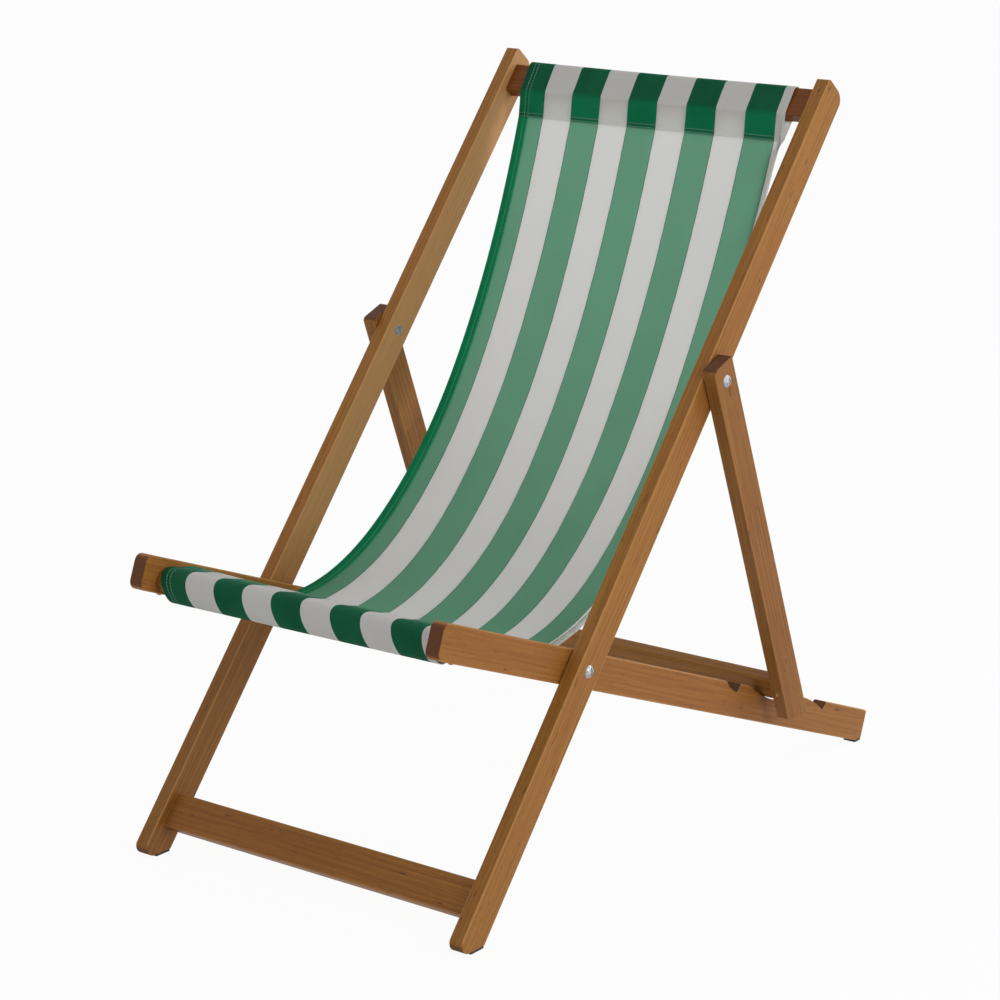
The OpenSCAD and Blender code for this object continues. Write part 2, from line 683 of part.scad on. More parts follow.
// Hanging canvas between the two hems, with the sag of its middle and the lift of its right edge
module canvas_span() {
    rows = len(span_path);
    function layer(i, k) = let(p = span_path[i] + normal(span_path, i) * k * canvas_t / 2)
        [for (j = [0:span_cols]) let(s = j / span_cols,
            sag = (canvas_belly * 4 * s * (1 - s) - canvas_lift * pow(s, 3)) * sin(180 * i / (rows - 1)))
            [canvas_w * (s - 0.5), p[0], p[1] - sag]];
    n = span_cols + 1;
    m = rows * n;
    points = concat([for (i = [0:rows - 1]) each layer(i, 1)],
        [for (i = [0:rows - 1]) each layer(i, -1)]);
    // Two triangles for the quad a, b, c, d
    function quad(a, b, c, d) = [[a, b, c], [a, c, d]];
    faces = concat(
        [for (i = [0:rows - 2]) for (j = [0:span_cols - 1])
            each quad(i * n + j, i * n + j + 1, (i + 1) * n + j + 1, (i + 1) * n + j)],
        [for (i = [0:rows - 2]) for (j = [0:span_cols - 1])
            each quad(m + i * n + j, m + (i + 1) * n + j, m + (i + 1) * n + j + 1, m + i * n + j + 1)],
        [for (j = [0:span_cols - 1]) each quad(j, m + j, m + j + 1, j + 1)],
        [for (j = [0:span_cols - 1]) let(a = (rows - 1) * n + j)
            each quad(a, a + 1, m + a + 1, m + a)],
        [for (i = [0:rows - 2]) each quad(i * n, (i + 1) * n, m + (i + 1) * n, m + i * n)],
        [for (i = [0:rows - 2]) let(a = i * n + span_cols)
            each quad(a, m + a, m + a + n, a + n)]);
    color("mediumaquamarine") polyhedron(points, faces);
}

back_rail_left();
back_rail_right();
top_rail();
foot_stretcher();
stretcher_pins();
top_rail_pins();
seat_rail_left();
seat_rail_right();
front_rail();
front_rail_pins();
prop_strut_left();
prop_strut_right();
prop_crossbar();
crossbar_pins();
seat_pivot_bolts();
seat_pivot_washers();
seat_pivot_nuts();
prop_pivot_bolts();
prop_pivot_washers();
prop_pivot_nuts();
front_pads();
front_pad_nails();
rear_pads();
rear_pad_nails();
canvas_top_sleeve();
canvas_span();
canvas_front_sleeve();
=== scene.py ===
# %% [markdown]
# # A folding deck chair: oiled hardwood frames and a striped canvas sling
#
# Three wooden frames turn on steel bolts, and one long strip of canvas hangs
# between the top rail and the front rail. The frames are already made as exact
# solids, so this lesson loads them, gives each its finish, and sews the canvas.
# Everything is in metres. The chair faces -Y, and the floor is at z = 0.

# %% Load the frame
import json
import math

import bmesh
import bpy
from mathutils import Euler, Matrix, Vector


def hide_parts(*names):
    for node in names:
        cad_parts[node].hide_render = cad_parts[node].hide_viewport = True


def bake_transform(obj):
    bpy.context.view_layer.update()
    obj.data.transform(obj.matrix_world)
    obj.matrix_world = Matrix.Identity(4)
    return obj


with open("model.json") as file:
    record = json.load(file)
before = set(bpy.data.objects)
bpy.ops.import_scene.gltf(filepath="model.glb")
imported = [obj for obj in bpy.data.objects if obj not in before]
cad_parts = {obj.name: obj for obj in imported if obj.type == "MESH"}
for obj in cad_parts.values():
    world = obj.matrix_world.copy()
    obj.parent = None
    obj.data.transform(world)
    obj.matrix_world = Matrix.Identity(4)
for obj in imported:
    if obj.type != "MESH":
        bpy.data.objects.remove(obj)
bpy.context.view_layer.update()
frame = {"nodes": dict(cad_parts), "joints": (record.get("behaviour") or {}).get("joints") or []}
nodes = frame["nodes"]

# %% [markdown]
# ## Places along the frames
#
# A deck chair is drawn from its side: every rail is a straight line in that view.
# So a place on a frame is given by how far it lies along the rail from its pivot,
# and how far out from the rail's middle. The pivots are read from the joints, and
# the back rails' slope follows from them, while the seat and strut slopes are given,
# so the canvas lands exactly where the bars are.

# %% Pivots and slopes
joints = {joint["name"]: joint for joint in frame["joints"]}
seat_pivot = Vector(joints["seat_fold"]["pos_m"])
prop_pivot = Vector(joints["prop_swing"]["pos_m"])
back_slope = math.atan2(prop_pivot.z - seat_pivot.z, prop_pivot.y - seat_pivot.y)
seat_slope = math.radians(-20.94)
prop_slope = math.radians(-68.64)


def side_point(pivot, slope, along, out):
    """The (y, z) of a place along a rail and out from its middle."""
    return Vector((pivot.y + along * math.cos(slope) - out * math.sin(slope),
                   pivot.z + along * math.sin(slope) + out * math.cos(slope)))


def on_back(along, out):
    return side_point(seat_pivot, back_slope, along, out)


def on_seat(along, out):
    return side_point(seat_pivot, seat_slope, along, out)


print("back rails slope", round(math.degrees(back_slope), 2), "degrees, seat pivot", seat_pivot)

# %% [markdown]
# ## Writing shaders as sums
#
# A finish is a tree of shader nodes, which is hard to read as a list of links.
# Here a small class wraps a socket, so `1 - mask` adds the Math node for it, and
# one method adds every other node. The finishes below then read as plain sums.

# %% A socket that takes part in sums
class Value:
    """A number, colour or vector that a shader node gives."""

    def __init__(self, finish, socket):
        self.finish, self.socket = finish, socket

    def maths(self, operation, *others):
        inputs = dict(enumerate((self,) + others))
        return self.finish.node("Math", {"operation": operation}, inputs)

    def __add__(self, other):
        return self.maths("ADD", other)

    def __mul__(self, other):
        return self.maths("MULTIPLY", other)

    __radd__, __rmul__ = __add__, __mul__

    def __sub__(self, other):
        return self.maths("SUBTRACT", other)

    def __rsub__(self, other):
        return (self * -1.0) + other

    def __truediv__(self, other):
        return self.maths("DIVIDE", other)

    def __abs__(self):
        return self.maths("ABSOLUTE")

    def rise(self, low, high):
        """0 below low, 1 above high, and a smooth step between them."""
        return self.finish.node("MapRange", {"interpolation_type": "SMOOTHSTEP"},
                                {0: self, 1: low, 2: high, 3: 0.0, 4: 1.0})

    def part(self, number):
        """One of the three numbers of a vector."""
        return self.finish.node("SeparateXYZ", {}, {0: self}, number)


print("sockets can be added, multiplied and compared")

# %% A material being written
class Finish:
    """A material, its shader, and the nodes that feed it."""

    def __init__(self, name, **constants):
        self.material = bpy.data.materials.new(name)
        self.material.use_nodes = True
        self.tree = self.material.node_tree
        self.shader = self.tree.nodes["Principled BSDF"]
        self.feed(self.shader, constants)

    def feed(self, node, inputs):
        for key, value in inputs.items():
            if isinstance(value, Value):
                self.tree.links.new(value.socket, node.inputs[key])
            else:
                node.inputs[key].default_value = value

    def node(self, kind, settings, inputs, output=0):
        node = self.tree.nodes.new("ShaderNode" + kind)
        for name, value in settings.items():
            setattr(node, name, value)
        self.feed(node, inputs)
        return Value(self, node.outputs[output])

    def noise(self, place, stretch, detail=3.0, rough=0.55):
        """Noise from 0 to 1 whose grain is finer along a longer stretch."""
        scaled = self.node("VectorMath", {"operation": "MULTIPLY"}, {0: place, 1: stretch})
        return self.node("TexNoise", {}, {"Vector": scaled, "Scale": 1.0,
                                          "Detail": detail, "Roughness": rough})

    def mix(self, share, first, second, kind="MIX"):
        settings = {"data_type": "RGBA", "blend_type": kind}
        return self.node("Mix", settings, {0: share, 6: first, 7: second}, 2)

    def bump(self, height, distance, strength=1.0):
        return self.node("Bump", {}, {"Height": height, "Distance": distance,
                                      "Strength": strength})

    def mix_shaders(self, share, first, second):
        """Two shaders, mixed by a share that may change over the surface."""
        return self.node("MixShader", {}, {0: share, 1: first, 2: second})

    def show_mixed(self, share, other):
        """Lets the surface show another shader beside its own."""
        own = Value(self, self.shader.outputs[0])
        both = self.mix_shaders(share, own, other)
        self.feed(self.tree.nodes["Material Output"], {"Surface": both})


def colour(red, green, blue):
    """A colour as seen on a screen, 0 to 255, as the shader wants it."""
    return tuple((c / 255 / 12.92 if c < 11 else ((c / 255 + 0.055) / 1.055) ** 2.4)
                 for c in (red, green, blue)) + (1.0,)


def dress(node_name, finish):
    """Gives a solid its finish."""
    nodes[node_name].data.materials.clear()
    nodes[node_name].data.materials.append(finish.material)


print("shader helpers ready")

# %% [markdown]
# ## Oiled hardwood
#
# The frames are sawn from a warm, open-grained hardwood and oiled. Each stick is
# cut along the tree, so its long faces show thin lines that wander a little, and
# its ends show the same rings cut across, where the oil soaks in and turns dark.
# A flat picture of grain would slide over the corners. Here the rings are round
# a line that runs along each stick, outside it, so that the faces and the ends
# are cut through the same block of wood.

# %% The block of wood behind one stick
def stick_places(finish, name, slope, across):
    """Places in a stick's own directions, from its middle, and its half sizes."""
    turn = Euler((-slope, 0.0, math.pi / 2 if across else 0.0))
    corners = [turn.to_matrix() @ v.co for v in nodes[name].data.vertices]
    low = Vector(min(c[k] for c in corners) for k in range(3))
    high = Vector(max(c[k] for c in corners) for k in range(3))
    middle = (low + high) / 2
    place = finish.node("Mapping", {}, {
        0: finish.node("TexCoord", {}, {}, 3), 1: -middle, 2: tuple(turn)})
    return place, (high - low) / 2


print("each stick can find its own block of wood")

# %% The hardwood finish
PALE, BROWN, LATE = colour(172, 119, 54), colour(140, 89, 37), colour(104, 62, 28)
PATCH, PORE, FLECK = colour(146, 88, 38), colour(78, 44, 20), colour(66, 38, 20)
PAINTED_SIDE_LIGHT, DARKER_LOW = colour(214, 172, 124), colour(104, 66, 34)
PAINTED_EDGE_HIGHLIGHT, SOAKED = colour(206, 156, 98), colour(84, 48, 33)
RINGS_PER_METRE, WANDER = 170.0, 0.030
EDGE_FROM, EDGE_TO = 0.0004, 0.0026  # from a long edge, in metres


def hardwood(name, slope, seed, across=False, tint=(1.0, 1.0, 1.0), edge_highlights=True, painted_light_share=0.0):
    finish = Finish("wood_" + name, **{"Metallic": 0.0, "IOR": 1.45, "Specular IOR Level": 0.25})
    place, half = stick_places(finish, name, slope, across)
    x, z = place.part(0), place.part(2)
    shifted = finish.node("VectorMath", {"operation": "ADD"},
                          {0: place, 1: (seed * 0.37, seed * 1.91, seed * 0.73)})
    # Rings: distance from the tree's middle line, which wanders along the stick
    wander = finish.noise(shifted, (7.0, 1.1, 7.0), 3.0)
    side, deep = 0.034 + 0.006 * (seed % 3), 0.05 + 0.011 * (seed % 4)
    reach = ((x + side) * (x + side) + (z - deep) * (z - deep)).maths("SQRT")
    ring = ((reach + wander * WANDER) * RINGS_PER_METRE).maths("FRACT")
    clear = finish.noise(shifted, (20.0, 3.0, 20.0), 2.0).rise(0.35, 0.65)
    late = ring.rise(0.35, 0.97) * (1.0 - ring.rise(0.97, 1.0)) * (clear * 0.8 + 0.2)
    # Long streaks and open pores
    streaks = finish.noise(shifted, (420.0, 7.0, 420.0), 4.0, 0.62)
    pores = finish.noise(shifted, (1500.0, 60.0, 1500.0), 2.0).rise(0.60, 0.70)
    patches = finish.noise(shifted, (14.0, 2.2, 14.0), 3.0)
    flecks = finish.noise(shifted, (170.0, 38.0, 170.0), 1.0).rise(0.72, 0.76)
    # Oil soaks into the ends, and the long edges get a painted highlight, as if they caught the
    # light
    if across:
        axis = (1.0, 0.0, 0.0)
    else:
        axis = (0.0, math.cos(slope), math.sin(slope))
    facing = finish.node("VectorMath", {"operation": "DOT_PRODUCT"},
                         {0: finish.node("TexCoord", {}, {}, 1), 1: axis}, 1)
    end = abs(facing).rise(0.55, 0.9)
    base = finish.mix(streaks.rise(0.25, 0.8), PALE, BROWN)
    base = finish.mix(late * 0.34, base, LATE)
    base = finish.mix(patches.rise(0.35, 0.7) * 0.4, base, PATCH)
    base = finish.mix(pores * 0.4, base, PORE)
    base = finish.mix(flecks * 0.6, base, FLECK)
    if painted_light_share:
        # Painted light: the wide faces are made paler, as if lit from the side, but not near the
        # ground, and the wood is made darker towards the bottom
        height = finish.node("TexCoord", {}, {}, 3).part(2)
        wide = finish.node("TexCoord", {}, {}, 1).part(0).maths("ABSOLUTE").rise(0.6, 0.9)
        # painted light: the wide side faces are made paler, as if lit
        base = finish.mix(wide * height.rise(0.25, 0.42) * painted_light_share, base, PAINTED_SIDE_LIGHT)
        # darker towards the bottom, below about 0.4 m
        base = finish.mix((1.0 - height.rise(0.2, 0.42)) * 0.3, base, DARKER_LOW)
    if edge_highlights:
        # painted highlight: the wood is made lighter along its long edges
        gap_x, gap_z = half.x - abs(x), half.z - abs(z)
        edge = 1.0 - gap_x.maths("MAXIMUM", gap_z).rise(EDGE_FROM, EDGE_TO)
        base = finish.mix(edge * 0.45 * (1.0 - end), base, PAINTED_EDGE_HIGHLIGHT)
    base = finish.mix(end * 0.8, base, SOAKED)
    level = finish.mix(1.0, base, tint + (1.0,), "MULTIPLY")
    rough = streaks * 0.16 + pores * 0.2 + 0.38 + end * 0.15
    height = streaks * 0.5 + late * 0.35 - pores * 0.9
    finish.feed(finish.shader, {"Base Color": level, "Roughness": rough,
                                "Normal": finish.bump(height, 0.0002, 0.8)})
    dress(name, finish)


print("hardwood:", RINGS_PER_METRE, "rings to the metre")

# %% Dress every stick
LEFT_RAIL_PAINTED_LIGHT = 0.42  # how much painted side light the left back rail's wide faces show
sticks = {
    "back_rail_left": (back_slope, 1, (1.04, 1.03, 1.0)),
    "back_rail_right": (back_slope, 5, (0.97, 0.97, 0.86)),
    "seat_rail_left": (seat_slope, 3, (1.0, 1.0, 1.0)),
    "seat_rail_right": (seat_slope, 8, (0.94, 0.90, 0.84)),
    "prop_strut_left": (prop_slope, 6, (0.85, 0.82, 0.80)),
    "prop_strut_right": (prop_slope, 10, (0.80, 0.76, 0.74)),
}
bars = {
    "top_rail": (back_slope, 12, (0.60, 0.40, 0.30)),
    "foot_stretcher": (back_slope, 4, (0.90, 0.85, 0.80)),
    "front_rail": (seat_slope, 7, (0.9, 0.85, 0.8)),
    "prop_crossbar": (prop_slope, 9, (0.9, 0.85, 0.8)),
}
for name, (slope, seed, tint) in sticks.items():
    hardwood(name, slope, seed, tint=tint, painted_light_share=LEFT_RAIL_PAINTED_LIGHT if name == "back_rail_left" else 0.0)
for name, (slope, seed, tint) in bars.items():
    hardwood(name, slope, seed, across=True, tint=tint, edge_highlights=name != "front_rail")
print("dressed", len(sticks) + len(bars), "wooden pieces")

# %% [markdown]
# ## Steel, brass and rubber
#
# The bolts, nuts and washers are zinc-plated steel, dulled by weather. The pins
# that lock the tenons are brass, gone brown in the hollows. The pads under the
# feet are black rubber. All of them are small, so a fine mottle over a metal or
# rubber base is enough, and it keeps them from looking like painted toys.

# %% Small hardware finishes
def mottled(name, first, second, metal, rough, size, depth):
    """A finish that changes between two colours over spots of the given size."""
    finish = Finish(name)
    place = finish.node("TexCoord", {}, {}, 3)
    spots = finish.noise(place, (1 / size,) * 3, 4.0, 0.6)
    fine = finish.noise(place, (6 / size,) * 3, 2.0)
    finish.feed(finish.shader, {
        "Base Color": finish.mix(spots.rise(0.35, 0.68), first, second),
        "Metallic": metal, "Roughness": spots * 0.25 + rough,
        "Normal": finish.bump(spots + fine * 0.4, depth)})
    return finish


zinc = mottled("zinc", colour(196, 198, 200), colour(140, 142, 146), 0.9, 0.28, 0.004, 0.00005)
brass = mottled("brass", colour(178, 140, 74), colour(96, 70, 36), 0.9, 0.35, 0.003, 0.00005)
rubber = mottled("rubber", colour(34, 33, 32), colour(52, 50, 47), 0.0, 0.65, 0.006, 0.0001)
for name in ("seat_pivot_bolts", "seat_pivot_washers", "seat_pivot_nuts", "prop_pivot_bolts",
             "prop_pivot_washers", "prop_pivot_nuts", "front_pad_nails", "rear_pad_nails"):
    dress(name, zinc)
for name in ("stretcher_pins", "top_rail_pins", "front_rail_pins", "crossbar_pins"):
    dress(name, brass)
for name in ("front_pads", "rear_pads"):
    dress(name, rubber)
print("dressed the hardware")

# %% [markdown]
# ## The canvas, drawn from the side
#
# The sling is one strip of deck canvas. Its upper end goes round the top rail and
# is sewn back on itself, it hangs down to the seat, and its lower end goes round
# the front rail in the same way. The path of the strip in the side view is drawn
# first, as short straight runs joined by arcs, with two smooth curves for the
# part that hangs. Each point keeps how far along the cloth it is, so that the
# weave and the stitches stay the same size all the way.

# %% Arcs and curves for the path
SKIN = 0.001  # from the wood to the middle of the cloth
PLY_GAP = 0.0017  # between the middles of two layers that are sewn together


def rounded(points, radii):
    """The points of an open line with an arc at each inner corner."""
    line = [points[0]]
    for before, corner, after, radius in zip(points, points[1:], points[2:], radii):
        a, b = (before - corner).normalized(), (after - corner).normalized()
        half = a.angle(b) / 2
        centre = corner + (a + b).normalized() * radius / math.sin(half)
        start = corner + a * radius / math.tan(half) - centre
        turn = start.angle_signed(corner + b * radius / math.tan(half) - centre)
        steps = max(3, round(abs(turn) / math.radians(11)))
        line += [centre + Matrix.Rotation(-turn * k / steps, 2) @ start for k in range(steps + 1)]
    return line + [points[-1]]


def bezier(points, steps):
    """Points on the cubic curve of four control points."""
    weights = (1, 3, 3, 1)
    return [sum((p * (w * t ** k * (1 - t) ** (3 - k))
                 for k, (p, w) in enumerate(zip(points, weights))), Vector((0, 0)))
            for t in (i / steps for i in range(steps + 1))]


print("a path is made of rounded corners and smooth curves")

# %% The upper sleeve, round the top rail
BAR_LOW, BAR_HIGH, BAR_FRONT, BAR_BACK = 0.826, 0.8695, 0.0105, -0.0095
SLACK_ABOVE, SLACK_BEFORE = 0.001, 0.003
CORNER_RADII = [0.004, 0.005, 0.0085, 0.017]
hem = Vector((0.7945, -0.009))
crease = Vector((BAR_LOW, BAR_FRONT + SKIN))
fall = (hem - crease).normalized()
under = hem + PLY_GAP * Vector((-fall.y, fall.x))
above = BAR_HIGH + SKIN + SLACK_ABOVE
top_loop = rounded([under, Vector((BAR_LOW, BAR_BACK - SKIN)), Vector((above, BAR_BACK - SKIN)),
                    Vector((above, BAR_FRONT + SKIN + SLACK_BEFORE)), crease, hem], CORNER_RADII)
top_loop = [on_back(*p) for p in top_loop]
print("upper sleeve:", len(top_loop), "points")

# %% The hanging part, as one curve behind the pivots and one before them
def heading(slope):
    """The direction in the side view that goes backwards and up at a slope."""
    return Vector((math.cos(slope), math.sin(slope)))


LOW_ABOVE_PIVOT = 0.0113
TOP_HEADING, FRONT_HEADING = heading(math.radians(72.8)), heading(math.radians(-3.4))
TOP_PULL, LOW_PULL, FRONT_PULL = 0.505, 0.25, 0.247  # reach of the curves' handles, as shares
FRONT_SEAM = Vector((-0.229, 0.016))  # along the seat rail, and out from it
hang_top = on_back(*hem)
hang_low = Vector((seat_pivot.y, seat_pivot.z + LOW_ABOVE_PIVOT))
hang_front = on_seat(*FRONT_SEAM)
back_run, seat_run = (hang_top - hang_low).length, (hang_front - hang_low).length
back_curve = bezier([hang_top, hang_top - TOP_PULL * back_run * TOP_HEADING,
                     hang_low + LOW_PULL * back_run * heading(0.0), hang_low], 46)
seat_curve = bezier([hang_low, hang_low - LOW_PULL * seat_run * heading(0.0),
                     hang_front + FRONT_PULL * seat_run * FRONT_HEADING, hang_front], 16)
print("hanging part", round(back_run + seat_run, 3), "m between its ends")

# %% The lower sleeve, a loose loop round the front rail
loop_middle, loop_radius, loop_steps = Vector((-0.242, -0.008)), 0.0225, 34
reach = FRONT_SEAM - loop_middle
low = reach - Vector((0, PLY_GAP))
start = math.atan2(reach.y, reach.x) + math.acos(loop_radius / reach.length)
stop = math.atan2(low.y, low.x) + 2 * math.pi - math.acos(loop_radius / low.length)
turns = [start + (stop - start) * k / loop_steps for k in range(loop_steps + 1)]
front_loop = [on_seat(*(loop_middle + loop_radius * heading(a))) for a in turns]
front_loop.append(on_seat(*(loop_middle + low)))
path = top_loop + back_curve[1:] + seat_curve[1:] + front_loop
print("the whole path has", len(path), "points")

# %% [markdown]
# ## The canvas, woven
#
# A flat grid is laid along the path, one row of points at each of its points, so
# that it starts as a real strip would: flat and even. Then the cloth is given
# what hanging does to it. Its middle sags below its edges, it drifts a few
# millimetres to one side on its way down, and slow shallow waves run across it.
# Its right edge rides higher at the seat and rolls back on itself. A simulation
# would find the same curve, but the two hems fix both ends, so the shape is known
# and can be said directly. Left is at -X here and right at +X, as in the picture.

# %% Lengths along the cloth
lengths = [0.0]
for first, second in zip(path, path[1:]):
    lengths.append(lengths[-1] + (second - first).length)
WIDTH, LENGTH = 0.448, lengths[-1]
upper_hem = lengths[len(top_loop) - 1]
front_hem = lengths[len(top_loop) + len(back_curve) + len(seat_curve) - 3]
print("cut", round(WIDTH, 3), "by", round(LENGTH, 3), "m, hems at", round(upper_hem, 3),
      "and", round(front_hem, 3))


# %% The hang of the cloth at one place
ROLL_LENGTH, ROLL_RADIUS = 0.0175, 0.0033
SAG, LESS_SAG = 0.0391, 0.0047
LIFT, LESS_LIFT = 0.0637, 0.0600
WAVE, PUFF, SNUG = 0.0011, 0.0035, 0.0040
SLIDE, SLIDE_BACK = 0.014, 0.003
DRIFT, DRIFT_BACK = 0.0004, 0.0016
SPREAD, LESS_SPREAD, EDGE_PULLED_IN = 1.006, 0.006, 0.006


def smooth(value, low, high):
    """0 below low, 1 above high, and a smooth step between them."""
    share = min(1.0, max(0.0, (value - low) / (high - low)))
    return share * share * (3 - 2 * share)


def hang(across, row):
    """The place of the cloth at a share of its width and a row of the path."""
    here = path[row]
    inside = min(1.0, max(0.0, (lengths[row] - upper_hem) / (front_hem - upper_hem)))
    swell = math.sin(math.pi * inside)
    sag = (SAG * inside - LESS_SAG) * 4 * across * (1 - across) * swell
    lift = (LIFT - LESS_LIFT * inside) * across ** 3 * swell
    wave = WAVE * math.sin(13 * across + 9 * inside) * math.sin(5 * across - 14 * inside) * swell
    # Round the front rail the loose sleeve has slid a little to one side
    round_rail = (lengths[row] - front_hem) / (LENGTH - front_hem)
    slide = SLIDE * smooth(round_rail, 0.2, 0.5) - SLIDE_BACK * smooth(round_rail, 0.08, 0.2)
    slide *= (1 - smooth(round_rail, 0.55, 0.95)) * (1 - 0.35 * smooth(across, 0.9, 1.0))
    drift = DRIFT - DRIFT_BACK * inside + slide
    narrow = SPREAD - LESS_SPREAD * inside
    # The upper sleeve stands off its bar at the left, and the lower one hugs its rail at the right
    over_bar = smooth(lengths[row], 0.07, 0.09) * (1 - smooth(lengths[row], 0.10, 0.14))
    puff = PUFF * (1 - across) ** 2 * over_bar
    snug = SNUG * across * math.sin(math.pi * min(1.0, max(0.0, round_rail)))
    rolled = smooth(inside, 0.0, 0.035) * (1 - smooth(inside, 0.75, 0.97))
    side = WIDTH * (across - 0.5) * narrow + drift
    side -= EDGE_PULLED_IN * smooth(across, 0.955, 1.0) * (1 - rolled)
    # Between the sleeves the right edge rolls back on itself
    behind = Vector((0.0, 0.0))
    edge = WIDTH * (across - 1) + ROLL_LENGTH
    if edge > 0 and rolled > 0.01:
        bend = rolled / ROLL_RADIUS
        run = path[row + 1] - path[row - 1]
        behind = Vector((-run.y, run.x)).normalized() * (1 - math.cos(edge * bend)) / bend
        side += math.sin(edge * bend) / bend - edge
    return Vector((side, here.x + behind.x, here.y + behind.y - sag + lift + wave + puff + snug))


print("the middle of the cloth hangs from", hang(0.5, 0), "to", hang(0.5, len(path) - 1))

# %% Weave the strip
COLUMNS, ROLL_COLUMNS, CLOTH_THICKNESS = 144, 12, 0.0012


def spaced(share, columns):
    """Shares of the width, with the last columns on the edge that rolls."""
    plain, flat_share = 1 - ROLL_COLUMNS / columns, 1 - ROLL_LENGTH / WIDTH
    if share < plain:
        return share / plain * flat_share
    return flat_share + (share - plain) / (1 - plain) * (1 - flat_share)


def weave(name, columns):
    mesh = bpy.data.meshes.new(name)
    grid = bmesh.new()
    bmesh.ops.create_grid(grid, x_segments=columns, y_segments=len(path) - 1, size=0.5)
    uv = grid.loops.layers.uv.new("cloth")
    at = {v: (spaced(v.co.x + 0.5, columns), round((v.co.y + 0.5) * (len(path) - 1)))
          for v in grid.verts}
    for face in grid.faces:
        for loop in face.loops:
            across, row = at[loop.vert]
            loop[uv].uv = (across, lengths[row] / LENGTH)
    for vertex, (across, row) in at.items():
        vertex.co = hang(across, row)
    bmesh.ops.recalc_face_normals(grid, faces=grid.faces)
    for face in grid.faces:
        face.smooth = True
    grid.to_mesh(mesh)
    grid.free()
    strip = bpy.data.objects.new(name, mesh)
    bpy.context.scene.collection.objects.link(strip)
    return strip


canvas = weave("canvas", COLUMNS)
thick = canvas.modifiers.new("thickness", "SOLIDIFY")
thick.thickness, thick.offset, thick.use_even_offset = CLOTH_THICKNESS, 0.0, True
print("canvas:", len(canvas.data.vertices), "points,", len(canvas.data.polygons), "faces")

# %% [markdown]
# ## Striped canvas
#
# Deck canvas is a plain weave of thick cotton. The stripes are in the warp, so
# they run the whole length and their edges are one thread wide. Where the cloth
# hangs as one layer, light comes through from behind. In the sleeves and along
# the side hems there are two layers, or wood behind, and the colour is deep. So
# the finish mixes a plain shader with translucent ones, one for each colour of
# light, and masks from the cloth's own measures say where it is doubled. The
# plain shader's colour also holds painted light: it is paler where the cloth is
# one layer, or doubled with air behind, than where it lies over wood.

# %% Stripes in the warp
FIRST_EDGE, STRIPE = 0.0430, 0.0482
print("the first stripe is", FIRST_EDGE, "m wide, and the next ones", STRIPE, "m")

# %% Where the cloth is doubled
cloth = Finish("striped_canvas", **{"Metallic": 0.0, "IOR": 1.4, "Specular IOR Level": 0.15})
uv = cloth.node("UVMap", {"uv_map": "cloth"}, {})
x, y = uv.part(0) * WIDTH, uv.part(1) * LENGTH
flat = cloth.node("CombineXYZ", {}, {0: x, 1: y, 2: 0.0})
SIDE_HEM, RIGHT_HEM_FROM, FOLD = 0.0172, 0.4340, 0.0055
BAR_FROM, RAIL_AFTER_SEAM = 0.031, 0.005
THREAD_STEP, HEM_STEP, WOOD_STEP, CREASE_STEP = 0.0004, 0.0005, 0.003, 0.004
FOLD_STEP = 0.0006
crease_at = upper_hem - (hem - crease).length


def past(distance, place, step):
    """0 before a place, 1 past it, and a smooth step to either side of it."""
    return distance.rise(place - step, place + step)


below_hem = past(y, upper_hem, THREAD_STEP)
sleeves = 1.0 - below_hem * (1.0 - past(y, front_hem, THREAD_STEP))
left_hem = 1.0 - past(x, SIDE_HEM, HEM_STEP)
right_hem = past(x, RIGHT_HEM_FROM, HEM_STEP)
double = sleeves.maths("MAXIMUM", left_hem).maths("MAXIMUM", right_hem)
on_bar = past(y, BAR_FROM, WOOD_STEP) * (1.0 - past(y, crease_at, CREASE_STEP))
hugging = on_bar.maths("MAXIMUM", past(y, front_hem + RAIL_AFTER_SEAM, WOOD_STEP))
fold = y.rise(upper_hem - FOLD - FOLD_STEP, upper_hem - FOLD) * (1.0 - below_hem)
print("side hem", SIDE_HEM, "m, crease under the bar at", round(crease_at, 3))

# %% Stripes, threads and stitches
WOBBLE, EDGE_THREAD, THREAD_PITCH = 0.0007, (0.0007, 0.0012), 0.0011
STITCH_PITCH, STITCH_HALF_WIDTH = 0.004, 0.0005
wobble = cloth.noise(flat, (30.0, 45.0, 1.0), 2.0) * (2 * WOBBLE) - WOBBLE
count = (x + wobble - FIRST_EDGE) / STRIPE
green = (count / 2).maths("FRACT").maths("GREATER_THAN", 0.5)
from_edge = abs((count + 0.5).maths("FRACT") - 0.5) * STRIPE
at_edge = 1.0 - from_edge.rise(*EDGE_THREAD)
waves = 2 * math.pi / THREAD_PITCH
threads = (x * waves).maths("SINE") * (y * waves).maths("SINE")
slubs = cloth.noise(flat, (700.0, 25.0, 1.0), 3.0) + cloth.noise(flat, (25.0, 700.0, 1.0), 3.0)
soil = cloth.noise(flat, (7.0, 5.0, 1.0), 4.0)
cloudy = cloth.noise(flat, (11.0, 8.0, 1.0), 3.0)


def seam(distance, half_width):
    """1 on a line at that distance, 0 away from it."""
    return 1.0 - abs(distance).rise(half_width * 0.6, half_width * 1.3)


def stitches(distance, along):
    """A row of stitches on a line, each about 3 mm long with a gap of 1 mm."""
    dash = (along / STITCH_PITCH).maths("FRACT")
    sewn = dash.rise(0.05, 0.15) * (1.0 - dash.rise(0.75, 0.85))
    return seam(distance, STITCH_HALF_WIDTH) * sewn


DOWN_AT = 0.0100, 0.0160, 0.4325, 0.4375
ACROSS_AT = upper_hem - FOLD, upper_hem - 0.0012, front_hem, front_hem + 0.009
CREASES = (0.0040, 0.0007), (0.0074, 0.0005), (0.0130, 0.0006)
rows = [(x - at, y) for at in DOWN_AT] + [(y - at, x) for at in ACROSS_AT]
thread = stitches(*rows[0])
for row in rows[1:]:
    thread = thread.maths("MAXIMUM", stitches(*row))
shaded_creases = sum(seam(x - at, half_width) for at, half_width in CREASES)
print(len(rows), "rows of stitches,", len(CREASES), "creases in the side hem")
